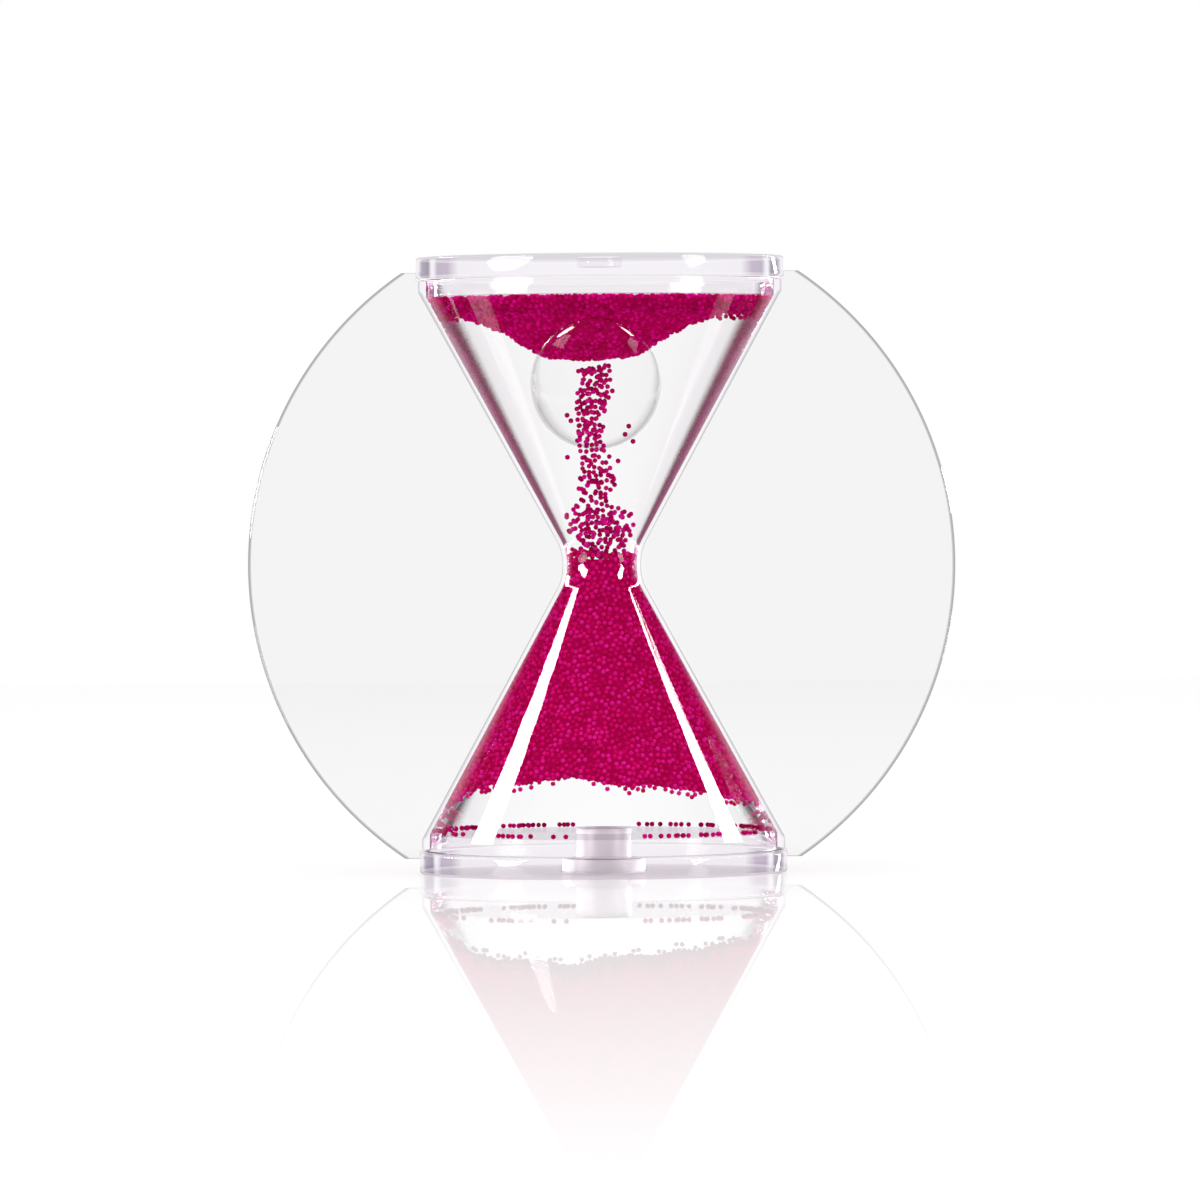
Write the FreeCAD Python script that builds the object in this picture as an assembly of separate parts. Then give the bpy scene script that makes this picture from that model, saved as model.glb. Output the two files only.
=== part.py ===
import FreeCAD, Part
import math
import os
import random

# Liquid motion timer: beads lighter than the liquid rise through the neck of a clear
# double cone and gather under the upper lid. Two clear wings stand at its sides.
# Millimetres, +Z up, origin at the middle of the base, front towards -Y.

Vector = FreeCAD.Vector
AXIS = Vector(0, 0, 1)
BASE = Vector(0, 0, 0)
FULL_TURN = 360.0

# Whole timer
overall_height = 87.0
match_tolerance = 0.001

# Lids
lid_overhang = 0.35
lid_thickness = 3.0
lid_edge_round = 0.35
spigot_height = 2.5
spigot_clearance = 0.05
bond_thickness = 0.15
top_recess_radius = 3.1
top_recess_depth = 1.4

# Clear double cone, whose two straight cones would meet at the meeting radius
cone_meeting_radius = 4.48
wall = 1.25
neck_round = 6.8
flange_radius = 25.65
flange_height = 1.68
flange_edge_round = 0.25

# Wings
wing_circle_radius = 50.0
wing_thickness = 3.0
wing_inset = 2.1

# Filler plug in the lower lid
plug_stem_radius = 3.9
plug_head_radius = 5.9
plug_head_height = 1.8
plug_head_clearance = 0.1
plug_recess = 0.2
plug_standout = 0.85
plug_tip_round = 0.3

# Beads
bead_diameter = 0.72
bead_spacing = 0.05
stray_seat_gap = 0.03
pile_depth = 9.4
pile_wall_depth = 2.35
pile_crown_radius = 6.5
mass_top_above_neck = 1.4
mass_middle_clearance = 7.7
mass_side_clearance = 3.5

# Rising stream: shares of its height, then offset and reach as shares of the column radius
column_radius = 5.6
neck_crowd_height = 6.0
lane_radius = 4.85
rise_clearance = 0.3
stream_stations_shares = (
    (0.00, 0.00, 0.72),
    (0.05, 0.00, 0.80),
    (0.19, 0.02, 0.95),
    (0.24, -0.10, 0.62),
    (0.29, -0.18, 0.44),
    (0.39, -0.08, 0.55),
    (0.52, -0.13, 0.36),
    (0.62, -0.28, 0.36),
    (0.81, -0.20, 0.42),
    (1.00, -0.18, 0.48),
)
stream_crowd_shares = ((0.00, 0.22, 150), (0.22, 0.55, 95), (0.55, 1.00, 150))
stream_seed = 19
tries_per_bead = 100

# Beads left at the rim of the floor, as arcs in shares of a turn about the axis
stray_arc_shares = (
    (0.006, 0.097), (0.125, 0.147), (0.156, 0.167), (0.172, 0.211), (0.281, 0.294),
    (0.311, 0.356), (0.392, 0.494), (-0.092, -0.064), (-0.125, -0.122), (-0.150, -0.136),
    (-0.175, -0.164), (-0.208, -0.181), (-0.281, -0.278), (-0.294, -0.292),
    (-0.344, -0.325), (-0.361, -0.358), (-0.422, -0.419), (-0.447, -0.444),
)

# Single beads on their way up: bearing as a share of a turn, start as a share of the rise
rising_beads_shares = (
    (-0.194, 0.83), (-0.231, 0.74), (-0.467, 0.66), (-0.417, 0.62), (-0.125, 0.52),
    (-0.319, 0.44), (0.467, 0.36), (-0.056, 0.47), (-0.167, 0.33), (0.097, 0.58),
)

# Sizes that follow from the ones above
mid_height = overall_height / 2
body_half = mid_height - lid_thickness - bond_thickness
chamber_half = body_half + bond_thickness - spigot_height
lid_radius = flange_radius + lid_overhang
flange_half = body_half - flange_height
slope = (flange_radius - cone_meeting_radius) / flange_half
lean = math.cos(math.atan(slope))
inner_meeting_radius = cone_meeting_radius - wall / lean
inner_neck_round = neck_round + wall
mouth_radius = inner_meeting_radius + slope * chamber_half
floor_height = mid_height - chamber_half
ceiling_height = mid_height + chamber_half
bead_radius = bead_diameter / 2
crown_height = ceiling_height - pile_depth
mass_top = mid_height + mass_top_above_neck
crowd_top = mass_top + neck_crowd_height


def inner_radius_at(height):
    """Radius of the chamber wall at a height, outside the rounding of the neck."""
    return inner_meeting_radius + slope * abs(height - mid_height)


def point(radius, height):
    return Vector(radius, 0, height)


def revolve(edges_or_points):
    """Turns a closed outline in the XZ plane once round the axis."""
    if isinstance(edges_or_points[0], Vector):
        wire = Part.makePolygon(list(edges_or_points) + [edges_or_points[0]])
    else:
        wire = Part.Wire(edges_or_points)
    return Part.Face(wire).revolve(BASE, AXIS, FULL_TURN)


def cylinder(radius, height, bottom):
    return Part.makeCylinder(radius, height, point(0, bottom), AXIS)


def rounded_rims(solid, rim_radius, heights, rounding):
    """Rounds the circles of one radius about the axis that lie at the given heights."""
    rims = []
    for edge in solid.Edges:
        if isinstance(edge.Curve, Part.Circle) and abs(edge.Curve.Radius - rim_radius) < match_tolerance:
            height = edge.Curve.Center.z
            if min(abs(height - wanted) for wanted in heights) < match_tolerance:
                rims.append(edge)
    return solid.makeFillet(rounding, rims)


def waist_edges(meeting_radius, rounding, end_half, end_radius):
    """Side of a double cone, top to bottom, with the round of the neck between its lines."""
    reach = rounding * slope * lean
    tangent = meeting_radius + slope * reach
    top, bottom = point(end_radius, mid_height + end_half), point(end_radius, mid_height - end_half)
    upper, lower = point(tangent, mid_height + reach), point(tangent, mid_height - reach)
    waist = point(meeting_radius + rounding * (1 / lean - 1), mid_height)
    return [
        Part.LineSegment(top, upper).toShape(),
        Part.Arc(upper, waist, lower).toShape(),
        Part.LineSegment(lower, bottom).toShape(),
    ]


def polyline(points):
    return [Part.LineSegment(a, b).toShape() for a, b in zip(points, points[1:])]


def chamber():
    """The sealed space inside the double cone, between the faces of the two spigots."""
    top, bottom = mid_height + chamber_half, mid_height - chamber_half
    side = waist_edges(inner_meeting_radius, inner_neck_round, chamber_half, mouth_radius)
    closing = polyline([
        point(mouth_radius, bottom), point(0, bottom), point(0, top), point(mouth_radius, top),
    ])
    return revolve(side + closing)


def body_envelope():
    """Outer form of the double cone, with its flanges, filled in."""
    top, bottom = mid_height + body_half, mid_height - body_half
    side = waist_edges(cone_meeting_radius, neck_round, flange_half, flange_radius)
    closing = polyline([
        point(flange_radius, mid_height - flange_half), point(flange_radius, bottom),
        point(0, bottom), point(0, top), point(flange_radius, top),
        point(flange_radius, mid_height + flange_half),
    ])
    return revolve(side + closing)


def clear_body():
    """One clear moulding: two cones, the neck, and a straight mouth at each end."""
    ends = (mid_height + body_half, mid_height - body_half)
    outer = rounded_rims(body_envelope(), flange_radius, ends, flange_edge_round)
    mouth_length = body_half - chamber_half
    shell = outer.cut(chamber())
    for bottom in (mid_height + chamber_half, mid_height - body_half):
        shell = shell.cut(cylinder(mouth_radius, mouth_length, bottom))
    return shell


def lid_blank(bottom, spigot_bottom):
    """A disc with a spigot that closes the mouth of the body."""
    disc = cylinder(lid_radius, lid_thickness, bottom)
    disc = rounded_rims(disc, lid_radius, (bottom, bottom + lid_thickness), lid_edge_round)
    spigot = cylinder(mouth_radius - spigot_clearance, spigot_height, spigot_bottom)
    return disc.fuse(spigot).removeSplitter()


def top_lid():
    blank = lid_blank(overall_height - lid_thickness, overall_height - lid_thickness - spigot_height)
    recess = cylinder(top_recess_radius, top_recess_depth, overall_height - top_recess_depth)
    return blank.cut(recess)


def bottom_lid():
    blank = lid_blank(0, lid_thickness)
    bore = cylinder(plug_stem_radius, lid_thickness + spigot_height, 0)
    seat = cylinder(plug_head_radius + plug_head_clearance, plug_recess + plug_head_height, 0)
    return blank.cut(bore).cut(seat)


def bond_ring(bottom):
    """Cured adhesive between a lid and the end of the body."""
    ring = cylinder(flange_radius - flange_edge_round, bond_thickness, bottom)
    return ring.cut(cylinder(mouth_radius, bond_thickness, bottom))


def filler_plug():
    """Round plug: a head sunk in the lower lid and a stem that ends inside the chamber."""
    stem_bottom = plug_recess + plug_head_height
    stem_top = lid_thickness + spigot_height + plug_standout
    stem = cylinder(plug_stem_radius, stem_top - stem_bottom, stem_bottom)
    stem = rounded_rims(stem, plug_stem_radius, (stem_top,), plug_tip_round)
    return cylinder(plug_head_radius, plug_head_height, plug_recess).fuse(stem)


def wing(side):
    """Clear sheet with a round outer edge, level ends and an inner edge that fits the body."""
    front = Vector(0, -wing_thickness / 2, mid_height)
    disc = Part.makeCylinder(wing_circle_radius, wing_thickness, front, Vector(0, 1, 0))
    height = overall_height - 2 * wing_inset
    left = 0 if side > 0 else -wing_circle_radius
    window = Part.makeBox(wing_circle_radius, wing_thickness, height,
                          Vector(left, -wing_thickness / 2, wing_inset))
    lids = cylinder(lid_radius, overall_height, 0).cut(
        cylinder(lid_radius, 2 * body_half, mid_height - body_half))
    sheet = disc.common(window).cut(body_envelope()).cut(lids)
    return max(sheet.Solids, key=lambda solid: solid.Volume)


def upper_bead_pile(space):
    """Heap that hangs from the ceiling, lowest under its middle."""
    wall_height = ceiling_height - pile_wall_depth
    overrun = lid_radius
    edge_height = crown_height + (wall_height - crown_height) * (
        (overrun - pile_crown_radius) / (inner_radius_at(wall_height) - pile_crown_radius))
    outline = [
        point(0, crown_height), point(pile_crown_radius, crown_height),
        point(overrun, edge_height), point(overrun, overall_height), point(0, overall_height),
    ]
    return space.common(revolve(outline))


def lower_bead_mass(space):
    """Beads still in the lower cone: they fill the neck and end in an arched underside."""
    middle = floor_height + mass_middle_clearance
    side = floor_height + mass_side_clearance
    front = -lid_radius
    left, right = Vector(-mouth_radius, front, side), Vector(mouth_radius, front, side)
    arch = Part.Arc(left, Vector(0, front, middle), right).toShape()
    top_left, top_right = Vector(-mouth_radius, front, mass_top), Vector(mouth_radius, front, mass_top)
    outline = Part.Wire([arch] + polyline([right, top_right, top_left, left]))
    block = Part.Face(outline).extrude(Vector(0, 2 * lid_radius, 0))
    return space.common(block)


def stray_channel():
    """Ring at the rim of the floor in which the stray beads lie."""
    width = bead_diameter + 2 * bead_spacing
    inner = mouth_radius - width - slope * width
    tube = cylinder(mouth_radius, width, floor_height)
    return tube.cut(cylinder(inner, width, floor_height))


def stream_column():
    """Space in the liquid that the rising beads take up, from the neck to the pile."""
    neck_part = cylinder(lid_radius, crowd_top - mass_top, mass_top)
    return neck_part.fuse(cylinder(column_radius, ceiling_height - mass_top, mass_top))


def liquid(space, pile, mass):
    """Clear liquid round the beads, as the part above them and the part below them."""
    rest = space.cut(pile).cut(mass).cut(stream_column()).cut(stray_channel())
    stem_top = lid_thickness + spigot_height + plug_standout
    rest = rest.cut(cylinder(plug_stem_radius, stem_top, 0))
    upper = [solid for solid in rest.Solids if solid.CenterOfMass.z > mid_height]
    lower = [solid for solid in rest.Solids if solid.CenterOfMass.z <= mid_height]
    return max(upper, key=lambda s: s.Volume), max(lower, key=lambda s: s.Volume)


def bead(centre):
    return Part.makeSphere(bead_radius, centre)


def between(share, stations):
    """Offset and reach of the stream at a share of its height."""
    for (start, offset, reach), (end, next_offset, next_reach) in zip(stations, stations[1:]):
        if share <= end:
            part = (share - start) / (end - start)
            return offset + (next_offset - offset) * part, reach + (next_reach - reach) * part
    return stations[-1][1], stations[-1][2]


def stream_places():
    """Centres of the beads in the stream, clear of each other and of the single beads' lanes."""
    draw = random.Random(stream_seed)
    pitch = bead_diameter + bead_spacing
    low, high = mass_top + pitch / 2 + bead_spacing, crown_height - pitch / 2 - bead_spacing
    places = []
    for start, end, count in stream_crowd_shares:
        wanted = len(places) + count
        for _ in range(count * tries_per_bead):
            if len(places) == wanted:
                break
            share = start + (end - start) * draw.random()
            offset, reach = between(share, stream_stations_shares)
            spread, turn = math.sqrt(draw.random()), math.tau * draw.random()
            height = low + (high - low) * share
            x = column_radius * (offset + reach * spread * math.cos(turn))
            y = column_radius * reach * spread * math.sin(turn)
            limit = lane_radius - pitch if height > crowd_top else inner_radius_at(height) - pitch / lean
            place = Vector(x, y, height)
            if math.hypot(x, y) > limit:
                continue
            if all(place.distanceToPoint(other) >= pitch for other in places):
                places.append(place)
    return places


def stray_places():
    """Centres of the beads along the rim of the floor."""
    pitch = bead_diameter + bead_spacing
    height = floor_height + bead_radius + stray_seat_gap
    ring = inner_radius_at(height) - (bead_radius + stray_seat_gap) / lean
    step = pitch / ring
    places = []
    for start, end in stray_arc_shares:
        for index in range(int(math.tau * (end - start) / step) + 1):
            bearing = math.tau * start + index * step
            places.append(Vector(ring * math.cos(bearing), ring * math.sin(bearing), height))
    return places


def rising_places():
    """Start of each single bead on its lane round the stream."""
    low, high = crowd_top + bead_diameter, crown_height - bead_diameter
    places = []
    for bearing, share in rising_beads_shares:
        turn = math.tau * bearing
        places.append(Vector(lane_radius * math.cos(turn), lane_radius * math.sin(turn),
                             low + (high - low) * share))
    return places


def write(name, shape):
    shape.exportStep(os.path.join("parts", name + ".step"))
    box = shape.BoundBox
    print(f"{name}: {len(shape.Solids)} solids, valid {shape.isValid()}, {shape.Volume:.2f} mm3, "
          f"z {box.ZMin:.2f} to {box.ZMax:.2f}")


def build():
    os.makedirs("parts", exist_ok=True)
    space = chamber()
    pile, mass = upper_bead_pile(space), lower_bead_mass(space)
    upper_liquid, lower_liquid = liquid(space, pile, mass)
    write("clear_body", clear_body())
    write("top_lid", top_lid())
    write("bottom_lid", bottom_lid())
    write("top_bond_ring", bond_ring(mid_height + body_half))
    write("bottom_bond_ring", bond_ring(lid_thickness))
    write("filler_plug", filler_plug())
    write("left_wing", wing(-1))
    write("right_wing", wing(1))
    write("upper_bead_pile", pile)
    write("lower_bead_mass", mass)
    write("upper_liquid", upper_liquid)
    write("lower_liquid", lower_liquid)
    write("bead_stream", Part.makeCompound([bead(place) for place in stream_places()]))
    write("stray_beads", Part.makeCompound([bead(place) for place in stray_places()]))
    for number, place in enumerate(rising_places(), start=1):
        write(f"rising_bead_{number:02d}", bead(place))
        travel = crown_height - rise_clearance - bead_radius - place.z
        print(f"  starts at {place.x:.3f} {place.y:.3f} {place.z:.3f}, rises {travel:.3f}")


build()
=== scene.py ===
"""Liquid motion timer: clear double cone with rising beads, two clear wings, lids and plug.

Metres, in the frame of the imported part: +Z up, front towards -Y, origin under the lower lid.
"""
import bmesh
import bpy
import math
import random
from mathutils import Matrix, Vector, noise


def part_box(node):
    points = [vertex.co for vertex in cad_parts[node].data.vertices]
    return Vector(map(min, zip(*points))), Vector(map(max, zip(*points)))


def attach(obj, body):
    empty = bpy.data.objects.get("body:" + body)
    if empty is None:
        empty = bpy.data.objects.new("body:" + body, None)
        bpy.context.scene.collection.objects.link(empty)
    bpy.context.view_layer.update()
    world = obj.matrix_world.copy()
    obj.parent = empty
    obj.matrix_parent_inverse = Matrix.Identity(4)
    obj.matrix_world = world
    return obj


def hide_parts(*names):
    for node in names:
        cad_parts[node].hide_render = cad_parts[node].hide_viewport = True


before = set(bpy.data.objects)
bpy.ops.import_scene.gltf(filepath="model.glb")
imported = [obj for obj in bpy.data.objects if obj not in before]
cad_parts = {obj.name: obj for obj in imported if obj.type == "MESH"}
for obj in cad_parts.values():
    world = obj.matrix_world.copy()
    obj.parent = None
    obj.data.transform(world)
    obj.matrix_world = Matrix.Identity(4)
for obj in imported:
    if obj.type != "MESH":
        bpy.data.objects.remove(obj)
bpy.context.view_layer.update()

mm = 0.001
BODY = "timer"

# Sizes of the clear parts, as the construction has them. Only the wall is drawn thinner, as the real
# one shows the beads nearly out to the outline.
lid_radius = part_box("top_lid")[1].x
total_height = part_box("top_lid")[1].z
ceiling_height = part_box("top_lid")[0].z
floor_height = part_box("bottom_lid")[1].z
body_bottom, body_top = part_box("clear_body")[0].z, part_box("clear_body")[1].z
flange_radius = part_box("clear_body")[1].x
lid_thickness = 3.0 * mm
lid_edge_round = 0.35 * mm
cone_meeting_radius = 4.48 * mm
wall = 0.6 * mm
neck_round = 6.8 * mm
flange_height = 1.68 * mm
flange_edge_round = 0.25 * mm
spigot_clearance = 0.05 * mm
top_recess_radius = 3.1 * mm
top_recess_depth = 1.4 * mm
plug_stem_radius = 3.9 * mm
plug_head_radius = 5.9 * mm
plug_head_clearance = 0.1 * mm
plug_head_top = 2.0 * mm
plug_head_round = 0.15 * mm
plug_stem_round = 0.3 * mm
film = 0.01 * mm
merge_distance = 0.001 * mm
rim_tolerance = 0.05 * mm
bubble_centre = (-0.67 * mm, 68.9 * mm)
bubble_radius = 9.12 * mm
bubble_rise = 2.4 * mm
wing_gap = 0.02 * mm
wing_rim_round = 0.32 * mm
wing_rim_depth = 0.5 * mm
wing_rim_steps = 160

mid_height = total_height / 2
flange_half = mid_height - body_bottom - flange_height
slope = (flange_radius - cone_meeting_radius) / flange_half
lean_angle = math.atan(slope)
lean = math.cos(lean_angle)
inner_meeting_radius = cone_meeting_radius - wall / lean
inner_neck_round = neck_round + wall
mouth_radius = inner_meeting_radius + slope * (ceiling_height - mid_height)

# Beads
bead_diameter = 0.72 * mm
bead_radius = bead_diameter / 2
bead_pitch = 0.74 * mm
coarse_bead_growth = 1.05
round_bead_rings = 6
bead_seed = 7
mass_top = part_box("bead_stream")[0].z
pile_least_depth = 2.5 * mm
mound_rise, mound_tilt = 0.3 * mm, 0.12
wall_layer_depth = 0.35 * mm
sheet_depth = 0.5 * mm
loose_share, loose_drop = 0.10, 0.9 * mm
stray_shift_x, stray_shift_y = 0.9 * mm, 0.5 * mm

# Ripples of a bead surface: how fine they are per metre, and how high
edge_ripple, edge_ripple_height = 260, 0.45 * mm
mound_ripple, mound_ripple_height = 700, 0.5 * mm

# Places tried for the beads of each group, and the least space between two beads
mass_wall_tries, mass_edge_tries, mound_tries, mass_top_tries = 90000, 22000, 9000, 3000
pile_wall_tries, pile_edge_tries, pile_top_tries = 30000, 26000, 14000
wall_spacing, edge_spacing, mound_spacing = bead_pitch * 0.9, bead_pitch * 0.95, bead_pitch * 0.85

# Solid core behind the beads
core_inset = 0.65 * bead_diameter
pile_core_gap = 0.3 * bead_diameter
core_rings, core_wall_steps, core_steps = 14, 24, 96
bearings = 360

# Surfaces that are turned about the axis
turn_steps = 256
neck_segments = 28
corner_segments = 5
smooth_angle = math.radians(22)

# Directions of a reflection in which the white surroundings fade out, and by how much
steep_fade = (0.22, 0.38)
forward_fade = (-0.30, -0.08)
faded_share = 0.98

# Ranges of Layer Weight's facing in which the far wall of the chamber turns into a mirror and takes a
# painted magenta tint, a painted reflection of the beads
far_mirror_fade = (0.50, 0.64)
painted_reflection_fade = (0.58, 0.70)

# Beads get their colour from their own shade and from a cloud through the whole group
shade_weight, cloud_weight, shade_offset = 0.75, 0.5, 0.12

# Floor and light
film_lamp_share = 0.97
floor_radius = 1.2
floor_level = 0.85
floor_mirror_reach = 0.68
floor_mirror_share = 0.58
floor_mirror_least = 0.03
floor_glow = 0.29
sky_level, sky_rise = 0.58, 0.30
lamp_aim = Vector((0, 0, 0.04))
strip_radiance = 30
overhead_place, overhead_size, overhead_radiance = (0, -0.5, 1.2), 1.0, 1.0


class Number:
    """A number socket of a node tree: Python's operators on it add Math nodes."""

    def __init__(self, finish, socket):
        self.finish = finish
        self.socket = socket

    def math(self, operation, *values):
        inputs = dict(enumerate(values))
        return self.finish.node("ShaderNodeMath", {"operation": operation}, inputs).number("Value")

    def __add__(self, other):
        return self.math("ADD", self, other)

    def __radd__(self, other):
        return self.math("ADD", other, self)

    def __sub__(self, other):
        return self.math("SUBTRACT", self, other)

    def __rsub__(self, other):
        return self.math("SUBTRACT", other, self)

    def __mul__(self, other):
        return self.math("MULTIPLY", self, other)

    def __rmul__(self, other):
        return self.math("MULTIPLY", other, self)

    def __truediv__(self, other):
        return self.math("DIVIDE", self, other)

    def __pow__(self, other):
        return self.math("POWER", self, other)

    def least(self, other):
        return self.math("MINIMUM", self, other)

    def most(self, other):
        return self.math("MAXIMUM", self, other)

    def size(self):
        return self.math("ABSOLUTE", self)


class Node:
    """One node of a finish, with its outputs by name."""

    def __init__(self, finish, node):
        self.finish = finish
        self.node = node

    def number(self, output):
        return Number(self.finish, self.node.outputs[output])

    def out(self, output=0):
        return self.node.outputs[output]


class Finish:
    """The node tree of one material or of the world, emptied, with a method that adds nodes."""

    def __init__(self, holder):
        holder.use_nodes = True
        self.tree = holder.node_tree
        self.tree.nodes.clear()

    def node(self, kind, settings=None, inputs=None):
        made = self.tree.nodes.new(kind)
        for name, value in (settings or {}).items():
            if name == "stops":
                self.set_stops(made.color_ramp, value)
            else:
                setattr(made, name, value)
        for name, value in (inputs or {}).items():
            if isinstance(value, Number):
                value = value.socket
            if isinstance(value, bpy.types.NodeSocket):
                self.tree.links.new(value, made.inputs[name])
            else:
                made.inputs[name].default_value = value
        return Node(self, made)

    def set_stops(self, ramp, stops):
        while len(ramp.elements) < len(stops):
            ramp.elements.new(1.0)
        for element, (place, colour) in zip(ramp.elements, stops):
            element.position = place
            element.color = (*colour, 1.0)

    def ramp(self, factor, stops):
        return self.node("ShaderNodeValToRGB", {"stops": stops}, {"Fac": factor}).out("Color")

    def mix(self, factor, first, second):
        """Colour between first and second."""
        inputs = {"Factor": factor, 6: first, 7: second}
        return self.node("ShaderNodeMix", {"data_type": "RGBA"}, inputs).out(2)

    def light_path(self, output):
        return self.node("ShaderNodeLightPath").number(output)

    def seen(self):
        """One where the camera looks straight, in a gloss or through glass, and zero for other rays."""
        direct = self.light_path("Is Camera Ray").most(self.light_path("Is Glossy Ray"))
        looks = direct.most(self.light_path("Is Transmission Ray"))
        return looks * (1 - self.light_path("Diffuse Depth").least(1))

    def mirrored(self, steepness, forwards):
        """Share of the white surroundings that a gloss shows: little of them steeply or forwards."""
        unlit = self.rise(steepness, *steep_fade).most(self.rise(forwards, *forward_fade))
        return 1 - self.light_path("Glossy Depth").least(1) * unlit * faded_share

    def facing(self):
        """Zero where a face is seen square on, one where it is seen on edge."""
        return self.node("ShaderNodeLayerWeight", inputs={"Blend": 0.5}).number("Facing")

    def mirror(self):
        return self.node("ShaderNodeBsdfGlossy", inputs={"Color": grey(1.0), "Roughness": 0.0})

    def surface(self, shader):
        self.node("ShaderNodeOutputMaterial", inputs={"Surface": shader.out()})

    def rise(self, value, start, end):
        """Goes smoothly from zero at start to one at end."""
        return self.node("ShaderNodeMapRange", {"interpolation_type": "SMOOTHSTEP"}, {
            "Value": value, "From Min": start, "From Max": end}).number("Result")


def grey(level):
    return (level, level, level, 1.0)


def new_material(name):
    material = bpy.data.materials.new(name)
    return material, Finish(material)


def clear_plastic(name, tints_and_painted_edge_shade, roughness, lamp_share=0.96, index=1.49):
    """Frosted plastic that bends light: tints_and_painted_edge_shade runs from square on to on edge, as in
    clear_film, with painted edge shade on edge.
    """
    material, finish = new_material(name)
    facing = finish.facing()
    plastic = finish.node("ShaderNodeBsdfPrincipled", inputs={
        "Base Color": finish.ramp(facing, tints_and_painted_edge_shade), "Roughness": roughness, "IOR": index,
        "Transmission Weight": 1.0})
    passing = finish.node("ShaderNodeBsdfTransparent", inputs={"Color": grey(lamp_share)})
    mixed = finish.node("ShaderNodeMixShader", inputs={
        "Fac": finish.light_path("Is Shadow Ray"), 1: plastic.out(), 2: passing.out()})
    finish.surface(mixed)
    return material


def clear_film(name, tints_and_painted_edge_shade, gloss, edge_gloss=0.4, rear_gloss=0.0):
    """Clear skin that passes light straight on.

    tints_and_painted_edge_shade runs from its colour seen square on to its colour seen on edge; its darker
    colours on edge are painted edge shade. gloss is the mirror share square on, and edge_gloss is added on
    edge. rear_gloss is the mirror share of a chamber's far wall where it is seen on edge, and there the
    wall also takes a painted magenta tint, a painted reflection of the beads.
    """
    material, finish = new_material(name)
    facing = finish.facing()
    near_side = 1 - finish.node("ShaderNodeNewGeometry").number("Backfacing")
    share = facing ** 3 * edge_gloss + gloss
    painted_edge_tint = finish.ramp(facing, tints_and_painted_edge_shade)
    if rear_gloss:
        share = share.most(finish.rise(facing, *far_mirror_fade) * rear_gloss)
        # Painted reflection: the far wall's edge takes magenta, painted in for the beads mirrored in it.
        painted_edge_tint = finish.mix(finish.rise(facing, *painted_reflection_fade) * near_side, painted_edge_tint, painted_bead_reflection_colour)
    passing = finish.node("ShaderNodeBsdfTransparent", inputs={"Color": painted_edge_tint})
    mixed = finish.node("ShaderNodeMixShader", inputs={
        "Fac": share * near_side, 1: passing.out(), 2: finish.mirror().out()})
    lamplight = finish.node("ShaderNodeBsdfTransparent", inputs={"Color": grey(film_lamp_share)})
    finish.surface(finish.node("ShaderNodeMixShader", inputs={
        "Fac": finish.light_path("Is Shadow Ray"), 1: mixed.out(), 2: lamplight.out()}))
    return material


def bead_plastic(name, stops, roughness=0.35):
    """Coloured beads in the liquid: the shade of each bead is kept on its mesh."""
    material, finish = new_material(name)
    shade = finish.node("ShaderNodeAttribute", {"attribute_name": "shade"}).number("Fac")
    place = finish.node("ShaderNodeTexCoord").out("Object")
    cloud = finish.node("ShaderNodeTexNoise", inputs={
        "Vector": place, "Scale": 420.0, "Detail": 2.0}).number("Fac")
    colour = finish.ramp(shade * shade_weight + cloud * cloud_weight - shade_offset, stops)
    plastic = finish.node("ShaderNodeBsdfPrincipled", inputs={
        "Base Color": colour, "Roughness": roughness, "IOR": 1.5, "Specular IOR Level": 0.0})
    finish.surface(plastic)
    return material


painted_bead_reflection_colour = (1.0, 0.42, 0.68, 1.0)
# The lower mass and the stream take lighter copies of the pile's magenta. This is painted light for beads
# that sit in more light, not a different colour of bead.
magenta_stops = ((0.0, (0.40, 0.0, 0.065)), (0.5, (0.68, 0.001, 0.16)), (1.0, (0.95, 0.003, 0.38)))
lower_painted_light_stops = ((0.0, (0.56, 0.001, 0.09)), (0.5, (0.90, 0.004, 0.22)), (1.0, (1.0, 0.02, 0.50)))
stream_painted_light_stops = ((0.0, (0.36, 0.0, 0.08)), (0.5, (0.80, 0.003, 0.24)), (1.0, (1.0, 0.015, 0.55)))
beads_finish = bead_plastic("magenta_beads", magenta_stops)
lower_beads_painted_lighter = bead_plastic("magenta_beads_below_painted_lighter", lower_painted_light_stops)
stream_beads_painted_lighter = bead_plastic("magenta_beads_in_stream_painted_lighter", stream_painted_light_stops)
rising_finish = bead_plastic("magenta_rising_bead", (
    (0.0, (0.62, 0.001, 0.17)), (1.0, (0.80, 0.006, 0.33))))
core_finish = bead_plastic("magenta_depth", (
    (0.0, (0.46, 0.0, 0.08)), (1.0, (0.76, 0.002, 0.17))), roughness=0.8)
# In these ramps the darker colours towards the on-edge end are painted edge shade. They stand in for the
# dark lines that bent light gives at the edges of clear plastic.
body_finish = clear_film("clear_body_plastic", (
    (0.0, (1.0, 1.0, 1.0)), (0.80, (0.98, 0.975, 0.98)), (0.90, (0.74, 0.71, 0.75)),
    (0.97, (0.50, 0.47, 0.51))), gloss=0.035)
# The chamber's far wall is a mirror at its edges, and it also takes a painted magenta tint there, a painted
# reflection of the beads.
chamber_finish = clear_film("clear_chamber_wall", (
    (0.0, (1.0, 1.0, 1.0)), (0.84, (0.98, 0.97, 0.98)), (0.92, (0.80, 0.77, 0.81)),
    (0.98, (0.62, 0.59, 0.63))), gloss=0.01, rear_gloss=0.85)
lid_finish = clear_film("clear_lid_plastic", (
    (0.0, (0.97, 0.96, 0.97)), (0.85, (0.955, 0.945, 0.96)),
    (0.97, (0.76, 0.73, 0.77))), gloss=0.006, edge_gloss=0.1)
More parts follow.
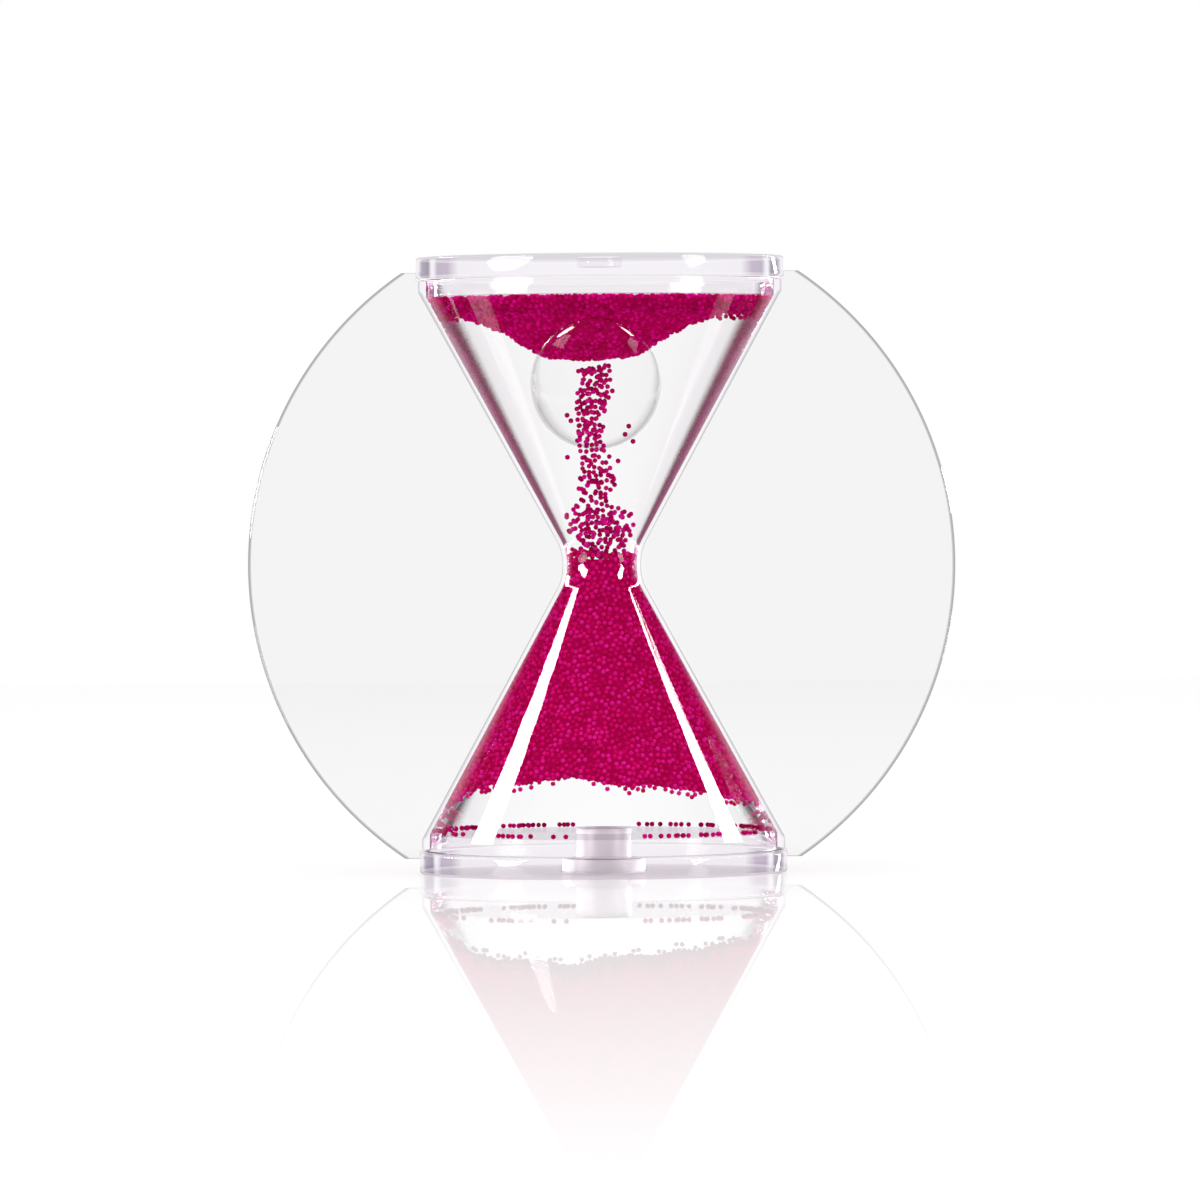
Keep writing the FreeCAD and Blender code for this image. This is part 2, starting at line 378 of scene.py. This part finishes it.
# Painted reflection: light and dark bands by facing on the upright rims of the lids, painted stripes for
# the studio seen in them.
lid_rim_painted_stripes = clear_film("clear_lid_rim_painted_stripes", (
    (0.0, (0.96, 0.945, 0.97)), (0.36, (0.95, 0.935, 0.96)), (0.44, (0.74, 0.69, 0.77)),
    (0.53, (0.72, 0.67, 0.75)), (0.57, (0.95, 0.93, 0.96)), (0.60, (0.95, 0.93, 0.96)),
    (0.64, (0.54, 0.50, 0.58)), (0.74, (0.58, 0.54, 0.62)), (0.82, (0.93, 0.91, 0.94))), gloss=0.008)
wing_finish = clear_film("clear_sheet_plastic", (
    (0.0, (0.96, 0.96, 0.96)), (1.0, (0.7, 0.7, 0.7))), gloss=0.02, edge_gloss=0.2)
wing_rim_finish = clear_film("polished_sheet_rim", (
    (0.0, (0.72, 0.72, 0.72)), (1.0, (0.60, 0.60, 0.60))), gloss=0.02, edge_gloss=0.2)
bond_finish = clear_plastic("clear_adhesive", (
    (0.0, (0.99, 0.99, 0.99)), (1.0, (0.97, 0.97, 0.97))), roughness=0.4, index=1.05)
# Painted edge shade: the dark band at middle facing draws the bubble's outline as a painted ring.
bubble_finish = clear_film("clear_bubble_skin", (
    (0.0, (1.0, 1.0, 1.0)), (0.32, (0.99, 0.99, 0.99)), (0.5, (0.62, 0.61, 0.62)),
    (0.6, (0.82, 0.81, 0.82)), (1.0, (0.85, 0.84, 0.85))), gloss=0.03, edge_gloss=0.25)
plug_finish = clear_plastic("frosted_plug_plastic", (
    (0.0, (0.78, 0.73, 0.77)), (1.0, (0.58, 0.53, 0.58))), roughness=0.4, lamp_share=0.8)


def mesh_piece(name, shape, material, *replaced, slot=None):
    """Turns a finished bmesh into a piece that rides on the timer's body."""
    mesh = bpy.data.meshes.new(name)
    shape.to_mesh(mesh)
    shape.free()
    mesh.materials.append(material)
    piece = bpy.data.objects.new(name, mesh)
    bpy.context.scene.collection.objects.link(piece)
    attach(piece, BODY)
    if replaced:
        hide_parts(*replaced)
    return piece


def smooth_shape(shape):
    """Smooth shading with crisp corners, and faces that point outwards."""
    bmesh.ops.recalc_face_normals(shape, faces=shape.faces)
    for face in shape.faces:
        face.smooth = True
    for edge in shape.edges:
        edge.smooth = len(edge.link_faces) == 2 and edge.calc_face_angle() < smooth_angle


def turned(points, closed, rounds=()):
    """Outline of (radius, height) points turned once round the axis.

    rounds holds (index of a point, length that its round takes of each side, segments).
    """
    shape = bmesh.new()
    corners = [shape.verts.new((radius, 0, height)) for radius, height in points]
    for first, second in zip(corners, corners[1:] + corners[:1] if closed else corners[1:]):
        shape.edges.new((first, second))
    for index, reach, segments in rounds:
        bmesh.ops.bevel(shape, geom=[corners[index]], offset=reach, offset_type="OFFSET",
                        segments=segments, profile=0.5, affect="VERTICES", material=-1)
    bmesh.ops.spin(shape, geom=shape.verts[:] + shape.edges[:], axis=(0, 0, 1), cent=(0, 0, 0),
                   angle=math.tau, steps=turn_steps, use_merge=True)
    bmesh.ops.remove_doubles(shape, verts=shape.verts, dist=merge_distance)
    smooth_shape(shape)
    return shape


def upright_rim(face, radius):
    """Whether a face is on the upright rim, of the given radius, of a turned shape."""
    middle = face.calc_center_median()
    return math.hypot(middle.x, middle.y) > radius - rim_tolerance and abs(face.normal.z) < 0.05


def body_shell():
    """Clear body; its chamber walls have material 1, and the rims of its flanges material 2."""
    points = [
        (flange_radius, body_bottom), (flange_radius, body_bottom + flange_height),
        (cone_meeting_radius, mid_height), (flange_radius, body_top - flange_height),
        (flange_radius, body_top), (mouth_radius, body_top), (mouth_radius, ceiling_height),
        (inner_meeting_radius, mid_height), (mouth_radius, floor_height), (mouth_radius, body_bottom),
    ]
    turn = math.tan(lean_angle)
    rounds = [
        (0, flange_edge_round, corner_segments), (4, flange_edge_round, corner_segments),
        (2, neck_round * turn, neck_segments), (7, inner_neck_round * turn, neck_segments),
    ]
    shape = turned(points, True, rounds)
    for face in shape.faces:
        middle = face.calc_center_median()
        in_chamber = math.hypot(middle.x, middle.y) < inner_radius_at(middle.z) + wall / 2
        face.material_index = 2 if upright_rim(face, flange_radius) else int(in_chamber)
    return shape


def rim_marked(shape):
    """Gives the upright rim of a lid its own material."""
    for face in shape.faces:
        face.material_index = int(upright_rim(face, lid_radius))
    return shape


def top_lid():
    spigot = mouth_radius - spigot_clearance
    seat = total_height - lid_thickness + film
    recess = total_height - top_recess_depth
    points = [
        (0, ceiling_height), (spigot, ceiling_height), (spigot, seat), (lid_radius, seat),
        (lid_radius, total_height), (top_recess_radius, total_height), (top_recess_radius, recess),
        (0, recess),
    ]
    rounds = [(3, lid_edge_round, corner_segments), (4, lid_edge_round, corner_segments)]
    return rim_marked(turned(points, False, rounds))


def bottom_lid():
    spigot = mouth_radius - spigot_clearance
    seat = lid_thickness - film
    head_bore, bore = plug_head_radius + plug_head_clearance, plug_stem_radius + film
    points = [
        (bore, floor_height), (bore, plug_head_top + film), (head_bore, plug_head_top + film),
        (head_bore, 0), (lid_radius, 0), (lid_radius, seat), (spigot, seat), (spigot, floor_height),
    ]
    rounds = [(4, lid_edge_round, corner_segments), (5, lid_edge_round, corner_segments)]
    return rim_marked(turned(points, True, rounds))


def bond_ring(bottom, top):
    inner, outer = mouth_radius, flange_radius - flange_edge_round
    points = [(inner, bottom), (outer, bottom), (outer, top), (inner, top)]
    return turned(points, True)


def plug():
    low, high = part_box("filler_plug")[0].z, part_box("filler_plug")[1].z
    points = [
        (0, low), (plug_head_radius, low), (plug_head_radius, plug_head_top),
        (plug_stem_radius, plug_head_top), (plug_stem_radius, high), (0, high),
    ]
    rounds = [(1, plug_head_round, corner_segments), (2, plug_head_round, corner_segments),
              (4, plug_stem_round, corner_segments)]
    return turned(points, False, rounds)


def bubble():
    """Low round bubble of clear plastic on the front of the upper cone."""
    shape = bmesh.new()
    bmesh.ops.create_uvsphere(shape, u_segments=128, v_segments=64, radius=1.0)
    for vertex in shape.verts:
        x = bubble_centre[0] + bubble_radius * vertex.co.x
        z = bubble_centre[1] + bubble_radius * vertex.co.z
        proud = 2 * film + bubble_rise * max(0, -vertex.co.y)
        radius = cone_meeting_radius + slope * (z - mid_height) + proud / lean
        vertex.co = (x, -math.sqrt(radius ** 2 - x ** 2), z)
    smooth_shape(shape)
    return shape


def wing_shape(side):
    """A wing on one side: inner edge along the body, flat ends, round outer edge."""
    radius, half_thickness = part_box("right_wing")[1].x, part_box("right_wing")[1].y
    rim_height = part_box("right_wing")[1].z - mid_height
    lid_line, body_line = lid_radius + wing_gap, flange_radius + wing_gap
    lid_low = body_top - mid_height + film
    inner = [(lid_line, rim_height), (lid_line, lid_low), (body_line, lid_low), (body_line, flange_half)]
    upper = [(x, mid_height + z) for x, z in inner]
    waist = (cone_meeting_radius + wing_gap / lean, mid_height)
    lower = [(x, mid_height - z) for x, z in reversed(inner)]
    corner_turn = math.asin(rim_height / radius)
    rim = []
    for step in range(wing_rim_steps + 1):
        turn = -corner_turn + 2 * corner_turn * step / wing_rim_steps
        rim.append((radius * math.cos(turn), mid_height + radius * math.sin(turn)))
    outline = upper + [waist] + lower + rim
    shape = bmesh.new()
    verts = [shape.verts.new((side * x, -half_thickness, z)) for x, z in outline]
    shape.faces.new(verts)
    waist_vert = verts[len(upper)]
    bmesh.ops.bevel(shape, geom=[waist_vert], offset=neck_round * math.tan(lean_angle),
                    offset_type="OFFSET", segments=neck_segments, profile=0.5, affect="VERTICES",
                    material=-1)
    made = bmesh.ops.extrude_face_region(shape, geom=shape.faces[:])
    moved = [item for item in made["geom"] if isinstance(item, bmesh.types.BMVert)]
    bmesh.ops.translate(shape, verts=moved, vec=(0, 2 * half_thickness, 0))
    bmesh.ops.recalc_face_normals(shape, faces=shape.faces)
    rim_edges = []
    for edge in shape.edges:
        first, second = (vert.co for vert in edge.verts)
        reach = min(math.hypot(first.x, first.z - mid_height), math.hypot(second.x, second.z - mid_height))
        if abs(first.y - second.y) < film and reach > radius - film:
            rim_edges.append(edge)
    bmesh.ops.bevel(shape, geom=rim_edges, offset=wing_rim_round, offset_type="OFFSET", segments=2,
                    profile=0.5, affect="EDGES", material=-1)
    smooth_shape(shape)
    for face in shape.faces:
        middle = face.calc_center_median()
        outer = math.hypot(middle.x, middle.z - mid_height) > radius - wing_rim_depth
        face.material_index = int(outer and abs(face.normal.y) < 0.95)
        face.smooth = abs(face.normal.y) < 0.99
    return shape


def between(place, line):
    """Height of a bent line of (place, height) points."""
    if place <= line[0][0]:
        return line[0][1]
    for (start, low), (end, high) in zip(line, line[1:]):
        if place <= end:
            return low + (high - low) * (place - start) / (end - start)
    return line[-1][1]


# Lower edge of the lower beads and of the upper pile, from left to right
mass_edge = [(x * mm, z * mm) for x, z in (
    (-22.0, 9.9), (-19.9, 11.3), (-15.7, 12.8), (-12.2, 12.7), (-8.9, 13.2), (-4.5, 13.9),
    (-1.8, 13.4), (1.4, 12.7), (3.8, 12.4), (6.6, 12.7), (11.6, 11.9), (14.4, 11.5),
    (17.1, 10.5), (22.0, 9.9),
)]
pile_edge = [(x * mm, z * mm) for x, z in (
    (-22.6, 79.3), (-18.1, 77.9), (-16.1, 77.2), (-13.6, 76.1), (-11.9, 74.9), (-7.5, 72.5),
    (-4.0, 72.3), (3.5, 72.4), (5.5, 73.2), (7.6, 74.3), (12.6, 77.1), (14.7, 77.7),
    (17.3, 79.0), (22.6, 79.4),
)]


def inner_radius_at(height):
    """Radius of the chamber at a height, with the round of the neck."""
    rise = abs(height - mid_height)
    reach = inner_neck_round * math.sin(lean_angle)
    if rise > reach:
        return inner_meeting_radius + slope * rise
    centre = inner_meeting_radius + inner_neck_round / lean
    return centre - math.sqrt(inner_neck_round ** 2 - rise ** 2)


class Underside:
    """Lower side of a body of beads, as a height over each point of the chamber."""

    def __init__(self, height):
        self.height = height
        self.edges = [self.wall_edge(math.tau * step / bearings) for step in range(bearings)]
        self.low = min(self.edges) - 1.0 * mm

    def __call__(self, x, y):
        return self.height(x, y) + noise.noise(Vector((x, y, 0)) * edge_ripple) * edge_ripple_height

    def wall_edge(self, turn):
        start = 20 * mm
        height = self(start * math.cos(turn), start * math.sin(turn))
        for _ in range(4):
            radius = inner_radius_at(height)
            height = self(radius * math.cos(turn), radius * math.sin(turn))
        return height

    def at_wall(self, turn):
        """Height at which it meets the wall, at one bearing."""
        return self.edges[int(turn / math.tau * bearings) % bearings]


def mass_height(x, y):
    return between(x, mass_edge)


def pile_height(x, y):
    reach = math.hypot(x, y)
    share = (1 + (x / reach if reach > 0 else 0)) / 2
    height = between(-reach, pile_edge) * (1 - share) + between(reach, pile_edge) * share
    return min(height, ceiling_height - pile_least_depth)


def mound_height(x, y):
    """Top of the lower beads, where they crowd through the neck."""
    bump = noise.noise(Vector((x, y, 3)) * mound_ripple) * mound_ripple_height
    return mass_top + mound_rise - mound_tilt * x + bump


def wall_place(turn, height, inset):
    radius = inner_radius_at(height) - inset / lean
    return Vector((radius * math.cos(turn), radius * math.sin(turn), height))


def wall_spot(draw, underside, top):
    """A bead against the wall of the chamber, or none where the beads have run out."""
    height, turn = draw.uniform(underside.low, top), draw.uniform(0, math.tau)
    edge = underside.at_wall(turn) + bead_radius
    loose = draw.random() < loose_share and height > edge - loose_drop
    if draw.uniform(0, mouth_radius) > inner_radius_at(height) or not (height > edge or loose):
        return None
    return wall_place(turn, height, bead_radius + draw.random() ** 2 * wall_layer_depth)


def sheet_spot(draw, surface, side):
    """A bead in a thin sheet along a surface across the chamber, above it (1) or below it (-1)."""
    x, y = draw.uniform(-mouth_radius, mouth_radius), draw.uniform(-mouth_radius, mouth_radius)
    height = surface(x, y) + side * (draw.random() ** 2 * sheet_depth + bead_radius)
    if math.hypot(x, y) > inner_radius_at(height) - bead_radius / lean:
        return None
    return Vector((x, y, height))


def packed(spots, spacing, places):
    """Adds the spots that lie clear of every bead put down before them."""
    cells = {}
    for place in places:
        cells.setdefault(tuple(int(part // spacing) for part in place), []).append(place)
    reach = (-1, 0, 1)
    for place in spots:
        if place is None:
            continue
        row, column, layer = (int(part // spacing) for part in place)
        near = [other for i in reach for j in reach for k in reach
                for other in cells.get((row + i, column + j, layer + k), ())]
        if all((place - other).length > spacing for other in near):
            cells.setdefault((row, column, layer), []).append(place)
            places.append(place)
    return places


def bead_template(rings):
    """Mesh of one bead, coarse where rings is 0, with its shade kept on its points."""
    shape = bmesh.new()
    if rings:
        bmesh.ops.create_uvsphere(shape, u_segments=8, v_segments=rings, radius=bead_radius)
    else:
        bmesh.ops.create_icosphere(shape, subdivisions=1, radius=bead_radius * coarse_bead_growth)
    for face in shape.faces:
        face.smooth = True
    mesh = bpy.data.meshes.new("bead")
    shape.to_mesh(mesh)
    shape.free()
    mesh.attributes.new("shade", "FLOAT", "POINT")
    return mesh


def beads_shape(draw, places, rings=0):
    """All beads of a group in one shape, each turned and shaded at random."""
    template = bead_template(rings)
    count = len(template.vertices)
    rest = [vertex.co.copy() for vertex in template.vertices]
    shape = bmesh.new()
    for place in places:
        axis = Vector((draw.gauss(0, 1), draw.gauss(0, 1), draw.gauss(0, 1)))
        turn = Matrix.Rotation(draw.uniform(0, math.tau), 3, axis)
        shade = draw.random()
        for vertex, start in zip(template.vertices, rest):
            vertex.co = turn @ start + place
        template.attributes["shade"].data.foreach_set("value", [shade] * count)
        shape.from_mesh(template)
    bpy.data.meshes.remove(template)
    return shape


def ball_centres(node):
    """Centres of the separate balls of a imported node."""
    shape = bmesh.new()
    shape.from_mesh(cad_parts[node].data)
    bmesh.ops.remove_doubles(shape, verts=shape.verts, dist=merge_distance)
    centres, seen = [], set()
    for start in shape.verts:
        if start in seen:
            continue
        island, waiting = [], [start]
        seen.add(start)
        while waiting:
            vertex = waiting.pop()
            island.append(vertex.co)
            for edge in vertex.link_edges:
                other = edge.other_vert(vertex)
                if other not in seen:
                    seen.add(other)
                    waiting.append(other)
        low = Vector(min(co[axis] for co in island) for axis in range(3))
        high = Vector(max(co[axis] for co in island) for axis in range(3))
        centres.append((low + high) / 2)
    shape.free()
    return centres


def core_shape(underside, top):
    """Solid behind the beads: fills the chamber between an underside and a level top."""
    shape = bmesh.new()
    points = [(step / core_rings, 0.0) for step in range(core_rings + 1)]
    points += [(1.0, step / core_wall_steps) for step in range(1, core_wall_steps + 1)]
    points += [(1 - step / core_rings, 1.0) for step in range(1, core_rings + 1)]
    corners = [shape.verts.new((radius, 0, height)) for radius, height in points]
    for first, second in zip(corners, corners[1:]):
        shape.edges.new((first, second))
    bmesh.ops.spin(shape, geom=shape.verts[:] + shape.edges[:], axis=(0, 0, 1), cent=(0, 0, 0),
                   angle=math.tau, steps=core_steps, use_merge=True)
    bmesh.ops.remove_doubles(shape, verts=shape.verts, dist=merge_distance)
    for vertex in shape.verts:
        share, rise = math.hypot(vertex.co.x, vertex.co.y), vertex.co.z
        turn = math.atan2(vertex.co.y, vertex.co.x)
        edge = underside.at_wall(turn % math.tau) + core_inset
        height = edge + (top - core_inset - edge) * rise
        radius = (inner_radius_at(height) - core_inset / lean) * share
        x, y = radius * math.cos(turn), radius * math.sin(turn)
        if rise == 0 and share < 1:
            height = underside(x, y) + core_inset
        vertex.co = (x, y, height)
    smooth_shape(shape)
    return shape


def joined(first, second):
    """Both shapes in one, the second with its own material."""
    extra = bpy.data.meshes.new("extra")
    second.to_mesh(extra)
    second.free()
    before = len(first.faces)
    first.from_mesh(extra)
    first.faces.ensure_lookup_table()
    for face in first.faces[before:]:
        face.material_index = 1
    bpy.data.meshes.remove(extra)
    return first


def tries(count, spot, *values):
    """Places for beads, drawn one after another by a function such as wall_spot."""
    return (spot(*values) for _ in range(count))


def bead_pieces():
    """The mass, the pile, the stream and the rim beads, and the finish of the rising ones."""
    draw = random.Random(bead_seed)
    mass, pile = Underside(mass_height), Underside(pile_height)
    lower = packed(tries(mass_wall_tries, wall_spot, draw, mass, mass_top), wall_spacing, [])
    packed(tries(mass_edge_tries, sheet_spot, draw, mass, 1), edge_spacing, lower)
    packed(tries(mound_tries, sheet_spot, draw, mound_height, -1), mound_spacing, lower)
    packed(tries(mass_top_tries, sheet_spot, draw, lambda x, y: mass_top + bead_radius, -1),
           mound_spacing, lower)
    pile_top = ceiling_height - bead_radius
    upper = packed(tries(pile_wall_tries, wall_spot, draw, pile, pile_top), wall_spacing, [])
    packed(tries(pile_edge_tries, sheet_spot, draw, pile, 1), edge_spacing, upper)
    packed(tries(pile_top_tries, sheet_spot, draw, lambda x, y: ceiling_height, -1), bead_pitch, upper)
    lower_core = core_shape(mass, mass_top - bead_radius)
    upper_core = core_shape(pile, ceiling_height - pile_core_gap)
    lower_piece = mesh_piece("lower_beads", joined(beads_shape(draw, lower), lower_core), lower_beads_painted_lighter,
                             "lower_bead_mass", slot="magenta_beads")
    upper_piece = mesh_piece("upper_beads", joined(beads_shape(draw, upper), upper_core), beads_finish,
                             "upper_bead_pile", slot="magenta_beads")
    for piece in (lower_piece, upper_piece):
        piece.data.materials.append(core_finish)
    mesh_piece("stream_beads", beads_shape(draw, ball_centres("bead_stream"), round_bead_rings),
               stream_beads_painted_lighter, "bead_stream", slot="magenta_beads")
    strays = packed((place + Vector((draw.uniform(-stray_shift_x, stray_shift_x),
                                     draw.uniform(-stray_shift_y, stray_shift_y), 0))
                     for place in ball_centres("stray_beads") * 3), bead_diameter, [])
    mesh_piece("rim_beads", beads_shape(draw, strays, round_bead_rings), beads_finish, "stray_beads",
               slot="magenta_beads")
    for name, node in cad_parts.items():
        if name.startswith("rising_bead"):
            node.data.materials.clear()
            node.data.materials.append(rising_finish)


bead_pieces()
shell = mesh_piece("body_shell", body_shell(), body_finish, "clear_body", "upper_liquid",
                   "lower_liquid", slot="clear_body")
shell.data.materials.append(chamber_finish)
shell.data.materials.append(lid_finish)
upper_lid = mesh_piece("upper_lid", top_lid(), lid_finish, "top_lid", slot="clear_lid")
lower_lid = mesh_piece("lower_lid", bottom_lid(), lid_finish, "bottom_lid", slot="clear_lid")
upper_lid.data.materials.append(lid_rim_painted_stripes)
lower_lid.data.materials.append(lid_rim_painted_stripes)
mesh_piece("front_bubble", bubble(), bubble_finish, slot="clear_body")
mesh_piece("upper_bond", bond_ring(body_top + film, total_height - lid_thickness), bond_finish,
           "top_bond_ring", slot="clear_bond")
mesh_piece("lower_bond", bond_ring(lid_thickness, body_bottom - film), bond_finish,
           "bottom_bond_ring", slot="clear_bond")
mesh_piece("plug", plug(), plug_finish, "filler_plug", slot="frosted_plug")
for name, node, side in (("wing_left", "left_wing", -1), ("wing_right", "right_wing", 1)):
    sheet = mesh_piece(name, wing_shape(side), wing_finish, node, slot="clear_sheet")
    sheet.data.materials.append(wing_rim_finish)


def pale_floor():
    """Pale polished table: it reads white, keeps the shadow and mirrors the timer close by."""
    shape = bmesh.new()
    bmesh.ops.create_circle(shape, cap_ends=True, segments=96, radius=floor_radius)
    mesh = bpy.data.meshes.new("floor")
    shape.to_mesh(mesh)
    shape.free()
    floor = bpy.data.objects.new("floor", mesh)
    bpy.context.scene.collection.objects.link(floor)
    material, finish = new_material("pale_floor")
    place = finish.node("ShaderNodeTexCoord").out("Object")
    reach = finish.node("ShaderNodeVectorMath", {"operation": "LENGTH"}, {0: place}).number("Value")
    nearness = (1 - reach / floor_mirror_reach).most(0)
    forwards = -1 * finish.node("ShaderNodeSeparateXYZ", inputs={0: place}).number("Y") / reach.most(0.1)
    facing = finish.facing()
    pale = finish.node("ShaderNodeBsdfDiffuse", inputs={"Color": grey(floor_level)})
    glow = finish.node("ShaderNodeEmission", inputs={
        "Color": grey(1.0), "Strength": finish.seen() * floor_glow})
    lit = finish.node("ShaderNodeAddShader", inputs={0: pale.out(), 1: glow.out()})
    unlit = finish.node("ShaderNodeEmission", inputs={"Color": grey(1.0), "Strength": 0.0})
    surface = finish.node("ShaderNodeMixShader", inputs={
        "Fac": finish.mirrored(1 - facing, forwards), 1: unlit.out(), 2: lit.out()})
    mirror_share = (facing ** 3 * floor_mirror_share).most(floor_mirror_least)
    finish.surface(finish.node("ShaderNodeMixShader", inputs={
        "Fac": nearness * mirror_share, 1: surface.out(), 2: finish.mirror().out()}))
    mesh.materials.append(material)


def studio_world():
    """White wherever the camera looks, and a softer light on the timer and the floor."""
    world = bpy.data.worlds.new("studio")
    bpy.context.scene.world = world
    finish = Finish(world)
    direction = finish.node("ShaderNodeTexCoord").out("Generated")
    across = finish.node("ShaderNodeSeparateXYZ", inputs={0: direction})
    up = across.number("Z")
    soft = sky_level + up * sky_rise
    seen = finish.seen()
    level = seen * finish.mirrored(up.size(), -1 * across.number("Y")) + soft * (1 - seen)
    background = finish.node("ShaderNodeBackground", inputs={"Color": grey(1.0), "Strength": level})
    finish.node("ShaderNodeOutputWorld", inputs={"Surface": background.out()})


def area_lamp(name, place, long_axis, width, length, radiance, gloss_only):
    """Flat lamp that faces the timer: it lights only glosses, or only what isn't a gloss."""
    data = bpy.data.lights.new(name, "AREA")
    data.shape = "RECTANGLE"
    data.size, data.size_y = width, length
    data.energy = radiance * math.pi * width * length
    lamp = bpy.data.objects.new(name, data)
    bpy.context.scene.collection.objects.link(lamp)
    back = (Vector(place) - lamp_aim).normalized()
    side = Vector(long_axis).cross(back).normalized()
    up = back.cross(side)
    lamp.matrix_world = Matrix.Translation(place) @ Matrix((side, up, back)).transposed().to_4x4()
    lamp.visible_camera = False
    lamp.visible_transmission = False
    lamp.visible_diffuse = not gloss_only
    lamp.visible_glossy = gloss_only


def studio_lamps():
    """Bent light strips on both sides, which show only as highlights, and a soft light above.

    Each strip runs through points of (x, y, z, width) in millimetres.
    """
    strips = {
        "left_strip": (
            (-1914, 713, 786, 910), (-1662, 1068, 613, 251), (-1409, 56, 1152, 9), (-588, -250, 798, 122),
        ),
        "left_neck_strip": ((-849, -749, 343, 560), (-989, -414, 41, 150)),
        "right_strip": ((3717, 3351, 1146, 483), (1443, 304, 1040, 19), (934, -403, 1178, 21)),
        "right_neck_strip": ((2003, -999, 151, 360), (1646, -1227, 909, 680)),
    }
    for name, points in strips.items():
        for part, (start, end) in enumerate(zip(points, points[1:])):
            low, high = Vector(start[:3]) * mm, Vector(end[:3]) * mm
            width = (start[3] + end[3]) / 2 * mm
            area_lamp(f"{name}_{part + 1}", (low + high) / 2, high - low, width,
                      (high - low).length + width / 4, strip_radiance, True)
    area_lamp("overhead", overhead_place, (1, 0, 0), overhead_size, overhead_size, overhead_radiance, False)


def photo_camera():
    """Camera from which the timer stands in the frame as in the photograph."""
    data = bpy.data.cameras.new("camera")
    camera = bpy.data.objects.new("camera", data)
    bpy.context.scene.collection.objects.link(camera)
    distance, eye_height, frame_width = 1.28, 0.0557, 0.1698
    aim_aside, aim_height, roll = -0.00027, 0.0385, math.radians(-0.4)
    data.sensor_width = 36.0
    data.lens = data.sensor_width * distance / frame_width
    place, aim = Vector((0, -distance, eye_height)), Vector((aim_aside, 0, aim_height))
    turn = (aim - place).to_track_quat("-Z", "Y").to_matrix().to_4x4()
    camera.matrix_world = Matrix.Translation(place) @ turn @ Matrix.Rotation(roll, 4, "Z")
    bpy.context.scene.camera = camera


pale_floor()
studio_world()
studio_lamps()
photo_camera()
scene = bpy.context.scene
scene.view_settings.view_transform = "Standard"
scene.cycles.max_bounces = 32
scene.cycles.transmission_bounces = 32
scene.cycles.glossy_bounces = 24
scene.cycles.transparent_max_bounces = 16
